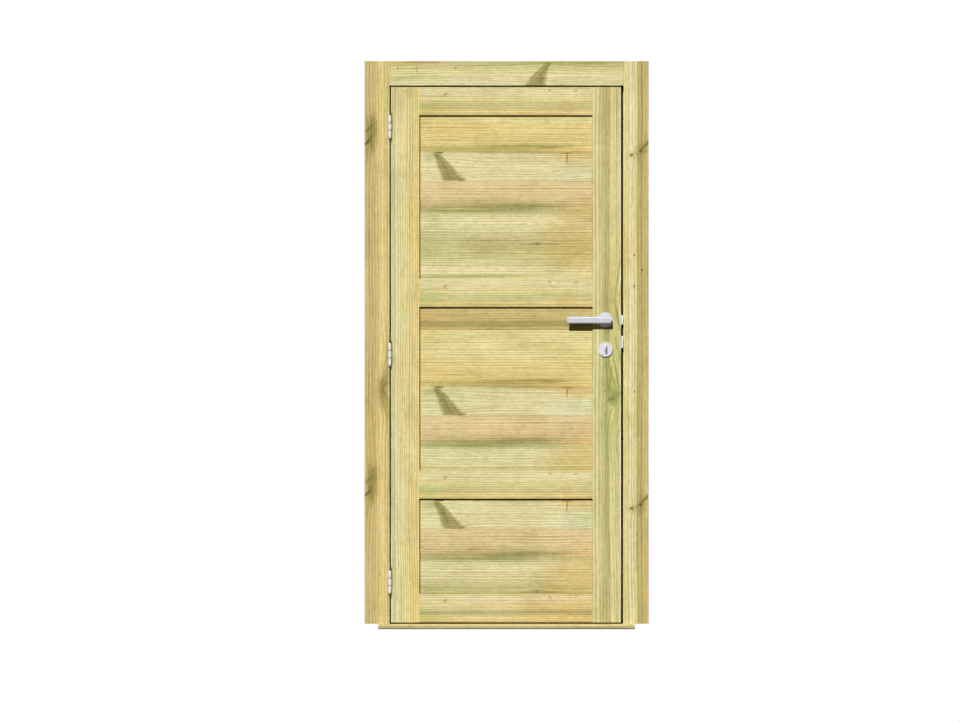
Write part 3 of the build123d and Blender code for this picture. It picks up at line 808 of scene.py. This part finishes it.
dress(
    pine(
        "jamb_left", "z",
        [
            (-500, KHAKI), (-485, TAN), (-462, TAN), (-450, ORANGE),
            (-442, YELLOW), (-428, YELLOW), (-421, TAN), (-412, STRAW),
        ],
        [
            *(mark for z in (1750, 514) for mark in branch_marks(z)),
            spot(-422, 940, 11, 90, GREEN_STREAK, turn=-8, soft=1.6, strength=0.75),
            spot(-430, 862, 18, 40, KNOT, turn=-14, soft=1.7, strength=0.75),
            spot(-434, 812, 14, 30, GREEN_STREAK, turn=6, soft=1.7, strength=0.8),
            spot(-428, 790, 12, 60, OLIVE, turn=8, soft=1.6, strength=0.8),
            spot(-440, 874, 2.6, 15, KNOT_EDGE, turn=-42, soft=1.5, strength=0.45),
            spot(-430, 860, 2.6, 18, KNOT_EDGE, turn=-30, soft=1.5, strength=0.45),
            spot(-436, 842, 2.6, 15, KNOT_EDGE, turn=34, soft=1.5, strength=0.4),
            spot(-424, 822, 2.4, 20, KNOT_EDGE, turn=24, soft=1.5, strength=0.35),
            # painted highlight along the jamb's edge at the opening
            rim("x", -413, 1.6, PAINTED_JAMB_HIGHLIGHT),
        ],
        [
            eddy(-500, 1740, 110, 34, 24), eddy(-500, 504, 110, 34, 24),
            lean(-426, 930, 90, 16, 0.26), lean(-426, 790, 70, 16, -0.30),
        ],
        pith=(-900, 60), pitch=10.6, seed=1.0,
    ),
    "jamb_hinge_side",
)


def twig_marks(z):
    """Two small knots across the right jamb and a third that leaves it at its edge."""
    return [
        spot(476, z + 4, 20, 34, GREEN_STREAK, turn=-24, soft=1.6, strength=0.75),
        spot(440, z - 13, 6, 5, GREEN_KNOT, turn=40, soft=1.2, strength=0.9),
        spot(441, z - 14, 12, 14, GREEN_STREAK, turn=-20, soft=1.5, strength=0.5),
        spot(472, z, 6, 5, GREEN_KNOT, soft=1.2, strength=0.8),
        spot(455, z - 8, 9, 3, OLIVE, turn=14, soft=1.4, strength=0.6),
        spot(484, z + 16, 5, 17, KNOT, turn=-42, soft=1.4, strength=0.7),
        spot(496, z + 30, 5, 13, KNOT, turn=-30, soft=1.3, strength=0.85),
    ]


dress(
    pine(
        "jamb_right", "z",
        [
            (412, STRAW), (425, STRAW), (442, CREAM), (456, STRAW),
            (466, KHAKI), (478, TAN), (492, TAN), (500, ORANGE),
        ],
        [
            band(469, 11, OLIVE, 0.75, wander=8),
            *(mark for z in (1683, 438) for mark in twig_marks(z)),
            spot(450, 1318, 4, 4, KNOT),
            spot(451, 1207, 4, 4, KNOT),
            spot(476, 1264, 4, 5, KNOT),
            spot(450, 836, 4, 4, KNOT),
            # painted highlight along the jamb's edge at the opening
            rim("x", 413, 1.6, PAINTED_JAMB_HIGHLIGHT),
        ],
        [
            eddy(440, 1670, 40, 12, 12), eddy(492, 1700, 60, 14, 14),
            eddy(438, 428, 40, 12, 12), eddy(492, 456, 60, 14, 14),
        ],
        pith=(900, 60), pitch=11.4, seed=5.5,
    ),
    "jamb_lock_side",
)

dress(
    pine(
        "stile_left", "z",
        [
            (-407, CREAM), (-398, SAGE), (-385, CREAM), (-368, STRAW),
            (-345, STRAW), (-325, YELLOW), (-307, YELLOW),
        ],
        [
            # painted highlights along the stile's outer and inner edges
            rim("x", -405, 2.4, PAINTED_STILE_HIGHLIGHT),
            rim("x", -309, 1.8, PAINTED_INNER_HIGHLIGHT_LEFT),
            spot(-346, 1890, 12, 20, BROWN_STREAK, soft=1.5, strength=0.35),
            # painted shadow of each hinge barrel on the stile's front corner
            *(spot(-404.6, z, 2.8, 52, PAINTED_HINGE_SHADOW, soft=0.3) for z in HINGE_MIDDLES),
        ],
        pith=(-700, 60), pitch=8.6, seed=7.7,
    ),
    "stile_hinge_side",
)

dress(
    pine(
        "stile_right", "z",
        [
            (303, CREAM), (312, SAGE), (322, STRAW), (330, KHAKI), (340, SAGE),
            (352, KHAKI), (362, KHAKI), (376, STRAW), (392, SAGE), (403, CREAM),
        ],
        [
            band(349, 11, GREEN_STREAK, 0.55, wander=8, soft=1.6),
            spot(374, 826, 14, 30, GREEN_STREAK, turn=10, soft=1.4, strength=0.8),
            spot(369, 809, 10, 6, KNOT, turn=10, soft=1.4, strength=0.55),
            spot(373, 793, 7, 6, KNOT, soft=1.4, strength=0.45),
            spot(395, 829, 7, 12, KNOT, turn=30, soft=1.5, strength=0.45),
            spot(380, 899, 2.6, 17, GLINT, turn=20, soft=1.3),
            spot(377, 857, 2.6, 13, GLINT, turn=25, soft=1.3),
            spot(392, 926, 2.4, 30, GLINT, turn=18, soft=1.3),
            spot(395, 886, 2.4, 26, GLINT, turn=15, soft=1.3),
            spot(379, 768, 2.6, 19, GLINT, turn=-25, soft=1.3),
            spot(394, 722, 2.6, 40, GLINT, turn=-12, soft=1.3),
            spot(384, 900, 26, 260, SHADY_PATCH, soft=1.4),
            spot(366, 880, 2.4, 60, DARK_STREAK, turn=-8, soft=1.4, strength=0.6),
            spot(388, 890, 2.4, 50, DARK_STREAK, turn=10, soft=1.4, strength=0.5),
            # painted highlight along the stile's inner edge
            rim("x", 305, 2.4, PAINTED_INNER_HIGHLIGHT_RIGHT),
            spot(384, 1130, 2.4, 70, DARK_STREAK, turn=14, soft=1.5, strength=0.45),
            spot(392, 1080, 2.4, 60, DARK_STREAK, turn=16, soft=1.5, strength=0.45),
            spot(392, 985, 2.6, 60, DARK_STREAK, turn=14, soft=1.5, strength=0.5),
            spot(384, 920, 2.6, 60, DARK_STREAK, turn=13, soft=1.5, strength=0.45),
            spot(378, 850, 18, 70, GREEN_STREAK, turn=10, soft=1.6, strength=0.5),
            spot(372, 812, 15, 15, KNOT, turn=10, soft=1.7, strength=0.3),
            spot(347, 840, 4, 5, BROWN_STREAK, soft=1.3, strength=0.8),
            spot(347, 757, 4, 5, BROWN_STREAK, soft=1.3, strength=0.8),
            spot(381, 760, 2.6, 50, DARK_STREAK, turn=-12, soft=1.5, strength=0.4),
            spot(348, 985, 9, 190, GREEN_STREAK, turn=1, soft=1.6, strength=0.5),
            # painted highlight along the stile's edge at the lock
            rim("x", 401, 3.0, PAINTED_LATCH_HIGHLIGHT),
        ],
        [
            lean(384, 1100, 110, 24, -0.32), lean(382, 930, 120, 26, -0.32),
            lean(382, 730, 90, 24, 0.26), eddy(370, 812, 34, 14, 14),
        ],
        pith=(760, 60), pitch=11.6, seed=3.3,
    ),
    "stile_lock_side",
)

dress(
    pine(
        "sill", "x",
        [(0, KHAKI), (10, KHAKI), (14, STRAW), (19, STRAW)],
        # painted shade along the sill's rounded lower edge
        [rim("z", 2.6, 2.6, PAINTED_EDGE_SHADE, 0.85)],
        pith=(160, 30), seed=6.1,
    ),
    "sill",
)
dress(
    pine("stops_upright", "z", [(-412, SAGE), (0, STRAW), (412, KHAKI)], pith=(0, 300), seed=8.2),
    "stop_hinge_side",
    "stop_lock_side",
)
dress(
    pine(
        "stops_across", "x",
        [(0, KHAKI), (1800, STRAW), (2000, KHAKI)],
        pith=(2150, 60), seed=8.9,
    ),
    "stop_head",
    "stop_sill",
)

# The hinges' knuckle joints and lower ends
knuckle_ends = [middle + step for middle in HINGE_MIDDLES for step in (13.3, -13.3, -40)]
chrome = metal("satin_chrome", screen(206, 206, 214), 0.14, "x", 0.06, matt=0.85)
blasted = metal("blasted_chrome", screen(218, 217, 226), 0.16, "x", 0.06, matt=0.96)
zinc = metal(
    "bright_zinc", screen(240, 237, 226), 0.17, "z", 0.08, 0.4, matt=0.6, seams=knuckle_ends
)
satin = metal("satin_steel", screen(220, 220, 222), 0.20, "z", 0.12, 0.5, matt=0.4)
brass = metal("nickelled_brass", screen(206, 203, 194), 0.18, "z", 0.10, 0.5, matt=0.85)
nickel = metal("nickel_silver", screen(240, 238, 230), 0.16, "z", 0.08, 0.4, matt=0.5)

for place in ("top", "middle", "bottom"):
    dress(zinc, *(f"hinge_{place}_{part}" for part in ("frame_plate", "leaf_plate", "pin")))
dress(satin, "lock_case", "lock_forend", "strike_plate", "latch_bolt", "dead_bolt", "spindle")
dress(brass, "cylinder", "cylinder_plug")
dress(nickel, "door_key")
dress(blasted, "rose_front", "rose_back", "escutcheon_front", "escutcheon_back")
dress(chrome, "lever_front", "lever_back")


# Seals and screws


def rubber_and_gap_shade(name):
    """Brown rubber, dull and faintly grained, its dark colour also standing in for the shade deep
    in the gaps round the leaf.
    """
    graph = Graph(name)
    grain = graph.noise(graph.x * 900, graph.y * 900, graph.z * 900, detail=2)
    return graph.finish(
        Base_Color=graph.mix(grain, screen(72, 54, 24), screen(92, 72, 38)),
        Roughness=0.75 + grain * 0.1,
        Specular_IOR_Level=0.25,
        Normal=graph.bump(grain, 0.00005, 0.5),
    )


# A seal's section in metres: a half-round bead on a low foot
SEAL_INSET = 0.0078  # the bead's middle from the stop's free edge
SEAL_FOOT = 0.0055  # half the foot's width
SEAL_HALF = 0.0048  # half the bead's width
SEAL_BASE = 0.0006  # the foot's height
SEAL_RISE = 0.0036  # the bead's height above its foot
SEAL_STEPS = 8


def add_seal(name, stop, side, material):
    """A rubber bead on the face of a stop that the leaf shuts against.

    Side is where the stop stands in the opening, left or right, or z for the one at the head.
    """
    low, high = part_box(stop)
    upright = side != "z"
    middle = {
        "left": high.x - SEAL_INSET, "right": low.x + SEAL_INSET, "z": low.z + SEAL_INSET
    }[side]
    start, end = (low.z, high.z) if upright else (low.x, high.x)
    profile = [(-SEAL_FOOT, 0.0)]
    for step in range(SEAL_STEPS + 1):
        turn = math.pi * step / SEAL_STEPS
        profile.append((-SEAL_HALF * math.cos(turn), -SEAL_BASE - SEAL_RISE * math.sin(turn)))
    profile.append((SEAL_FOOT, 0.0))
    bm = bmesh.new()
    rings = []
    for place in (start, end):
        ring = []
        for aside, out in profile:
            across, y = middle + aside, low.y + out
            ring.append(bm.verts.new((across, y, place) if upright else (place, y, across)))
        rings.append(ring)
    bm.faces.new(rings[0])
    bm.faces.new(rings[1])
    for i in range(len(profile)):
        j = (i + 1) % len(profile)
        bm.faces.new((rings[0][i], rings[0][j], rings[1][j], rings[1][i]))
    return add_piece(name, bm, material, "frame")


# A screw head, in mm. Its foot, edge and top lie that far out of the face it sits in.
SCREW_RADIUS = 3.9
SCREW_EDGE_RADIUS = 0.94 * SCREW_RADIUS
SCREW_FOOT = -0.2
SCREW_EDGE = 0.25
SCREW_TOP = 0.45
SCREW_SIDES = 24
CROSS_ARM = 0.16 * SCREW_RADIUS  # half the width of the cross recess's arms
CROSS_REACH = 0.62 * SCREW_RADIUS
CROSS_DEPTH = 0.3 * SCREW_RADIUS
CROSS_TAPER = 0.8


def ring_of(bm, place, facing, out, outline):
    """Vertices along an outline of (y, z) in mm, out along X from a place in metres."""
    x, y, z = place
    return [bm.verts.new((x + facing * out * MM, y + a * MM, z + b * MM)) for a, b in outline]


def add_screws(name, places, facing, material, body):
    """Countersunk screw heads with a cross recess, on faces that look along X."""
    bm = bmesh.new()
    arm, reach = CROSS_ARM, CROSS_REACH
    cross = [(arm, arm), (arm, reach), (-arm, reach), (-arm, arm), (-reach, arm), (-reach, -arm)]
    cross += [(-y, -z) for y, z in cross]
    tapered = [(CROSS_TAPER * a, CROSS_TAPER * b) for a, b in cross]
    turns = [2 * math.pi * step / SCREW_SIDES for step in range(SCREW_SIDES)]
    wide, narrow = (
        [(radius * math.cos(t), radius * math.sin(t)) for t in turns]
        for radius in (SCREW_RADIUS, SCREW_EDGE_RADIUS)
    )
    for place in places:
        rim_low = ring_of(bm, place, facing, SCREW_FOOT, wide)
        rim_high = ring_of(bm, place, facing, SCREW_EDGE, narrow)
        top = ring_of(bm, place, facing, SCREW_TOP, cross)
        floor = ring_of(bm, place, facing, SCREW_TOP - CROSS_DEPTH, tapered)
        for ring in (zip(rim_low, rim_high), zip(top, floor)):
            pairs = list(ring)
            for (a, b), (c, d) in zip(pairs, pairs[1:] + pairs[:1]):
                bm.faces.new((a, c, d, b))
        bm.faces.new(floor)
        edges = [bm.edges.get((a, b)) for a, b in zip(rim_high, rim_high[1:] + rim_high[:1])]
        edges += [bm.edges.get((a, b)) for a, b in zip(top, top[1:] + top[:1])]
        bmesh.ops.triangle_fill(bm, edges=edges, use_beauty=True)
    return add_piece(name, bm, material, body)


# Faces of the opening and the leaf, and (depth, height from the middle) of a hinge's screws
OPENING_HALF = 0.412
LEAF_LEFT, LEAF_RIGHT = -0.407, 0.403
HINGE_SCREWS = ((-0.010, -0.027), (0.003, 0.0), (-0.010, 0.027))

# The seals' dark brown is partly painted shade for the gaps round the leaf
seal = rubber_and_gap_shade("seal_rubber_and_gap_shade")
add_seal("seal_hinge_side", "stop_hinge_side", "left", seal)
add_seal("seal_lock_side", "stop_lock_side", "right", seal)
add_seal("seal_head", "stop_head", "z", seal)

for place in ("top", "middle", "bottom"):
    for part, facing, body in (("frame_plate", 1, "frame"), ("leaf_plate", -1, "leaf")):
        low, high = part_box(f"hinge_{place}_{part}")
        x = -OPENING_HALF if facing > 0 else LEAF_LEFT
        z = (low.z + high.z) / 2
        spots = [(x, y, z + step) for y, step in HINGE_SCREWS]
        add_screws(f"hinge_{place}_{part}_screws", spots, facing, zinc, body)
strike_spots = [(OPENING_HALF, 0, z) for z in (0.978, 1.117)]
forend_spots = [(LEAF_RIGHT, 0, z) for z in (0.931, 1.136)]
add_screws("strike_screws", strike_spots, -1, satin, "frame")
add_screws("forend_screws", forend_spots, 1, satin, "leaf")

bpy.context.scene.view_settings.view_transform = "Standard"

bpy.context.view_layer.update()
